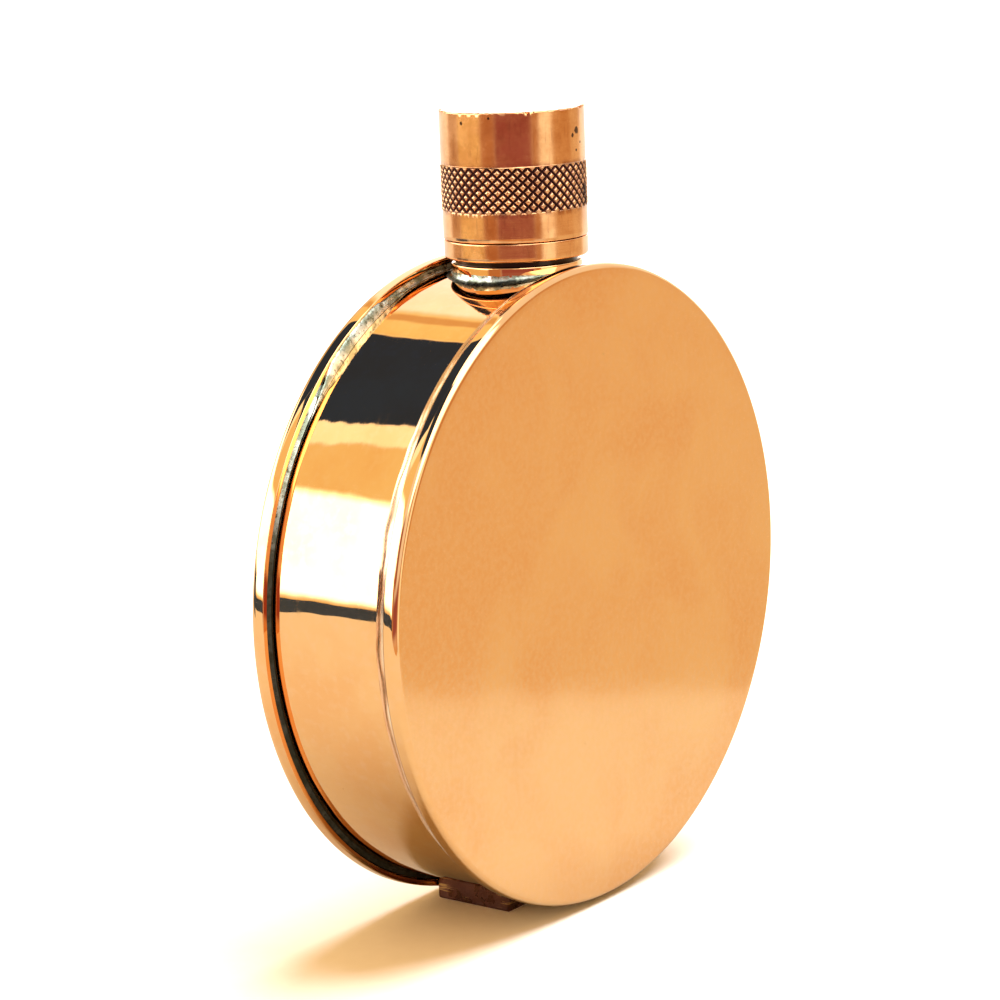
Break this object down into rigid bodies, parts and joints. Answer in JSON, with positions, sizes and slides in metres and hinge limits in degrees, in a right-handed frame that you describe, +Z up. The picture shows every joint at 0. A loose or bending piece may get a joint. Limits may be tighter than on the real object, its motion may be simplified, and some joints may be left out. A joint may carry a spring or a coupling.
{
  "type": "pocket flask",
  "caption": "Round drum-shaped copper pocket flask: banded wall, two soldered covers, threaded neck, knurled screw cap and a small flat foot.",
  "frame": {"origin": "on the surface that the flask stands on, under the neck's axis and midway between the front and back faces", "axes": "+Z up along the neck, +Y from the front cover to the back cover, +X across the face"},
  "size_m": [0.1044, 0.0282, 0.1281],
  "materials": {
    "polished_copper": "polished copper sheet",
    "satin_copper": "satin copper sheet",
    "turned_copper": "turned copper, lightly aged",
    "dark_copper": "darkened copper",
    "copper_fillet": "solder dressed flush and coloured like the copper",
    "solder": "tin-silver solder",
    "brass": "turned brass",
    "seal_rubber": "matt food-grade rubber"
  },
  "bodies": {
    "flask": {"front_cover": "satin_copper", "back_cover": "satin_copper", "side_wall": "polished_copper", "front_seam_solder": "copper_fillet", "back_seam_solder": "solder", "wall_seam_solder": "solder", "base_foot": "dark_copper", "neck_spout": "turned_copper", "neck_collar": "polished_copper", "neck_solder": "solder"},
    "seal": {"cap_seal": "seal_rubber"},
    "cap": {"cap_shell": "turned_copper", "cap_thread_insert": "brass"}
  },
  "joints": [
    {"name": "cap_rise", "type": "slide", "parent": "flask", "child": "seal", "axis": [0, 0, 1], "range_m": [0, 0.02]},
    {"name": "cap_turn", "type": "hinge", "parent": "seal", "child": "cap", "pos_m": [0, 0, 0.1076], "axis": [0, 0, 1], "range_deg": [0, 2880]}
  ],
  "couplings": [
    {"joint": "cap_rise", "follows": "cap_turn", "m_per_rad": 0.00039788}
  ]
}
